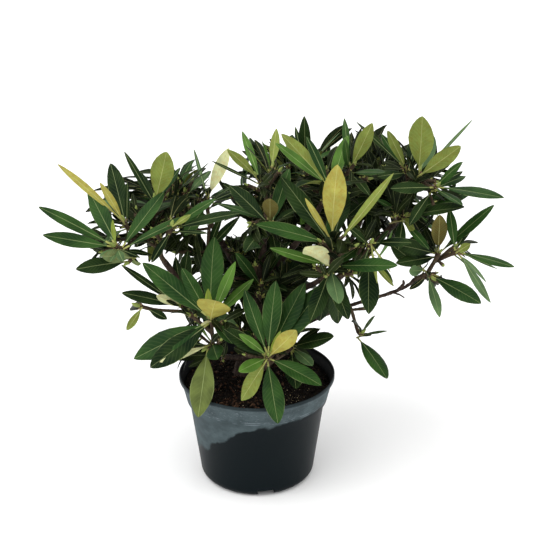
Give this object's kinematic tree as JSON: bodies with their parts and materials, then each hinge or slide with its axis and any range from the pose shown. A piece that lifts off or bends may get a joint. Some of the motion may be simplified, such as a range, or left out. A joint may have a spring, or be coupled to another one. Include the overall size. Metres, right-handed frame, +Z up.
{
  "type": "potted rhododendron",
  "caption": "Young evergreen rhododendron shrub with bare forking boughs and whorls of long leathery leaves, growing in a round dark plastic nursery pot with a collared rim.",
  "frame": {"origin": "middle of the pot's flat underside", "axes": "+Z up, -Y the plant's front, +X to the right seen from the front, along the crown's longest extent"},
  "size_m": [0.6364, 0.401, 0.559],
  "materials": {
    "pot": "satin blue-black plastic with a dusty film",
    "soil": "rough peat and bark potting compost",
    "bark": "matt fissured grey-brown bark",
    "leaf": "leathery, satin above and matt below"
  },
  "bodies": {
    "root": {"pot": "pot", "soil": "soil", "trunk": "bark", "bough_top": "bark", "bough_left": "bark", "bough_upper_left": "bark", "bough_low_left": "bark", "bough_low_centre": "bark", "bough_middle": "bark", "bough_centre": "bark", "bough_top_right": "bark", "bough_right": "bark", "bough_low_right": "bark", "bough_far_right": "bark", "bough_back": "bark", "bough_back_left": "bark", "bough_back_right": "bark", "bough_back_low": "bark", "foliage_left": "leaf", "foliage_upper_left": "leaf", "foliage_low_left": "leaf", "foliage_low_centre": "leaf", "foliage_middle": "leaf", "foliage_centre": "leaf", "foliage_top": "leaf", "foliage_top_right": "leaf", "foliage_right": "leaf", "foliage_low_right": "leaf", "foliage_hanging": "leaf", "foliage_back_left": "leaf", "foliage_back": "leaf", "foliage_back_right": "leaf", "foliage_back_low": "leaf"}
  },
  "joints": []
}
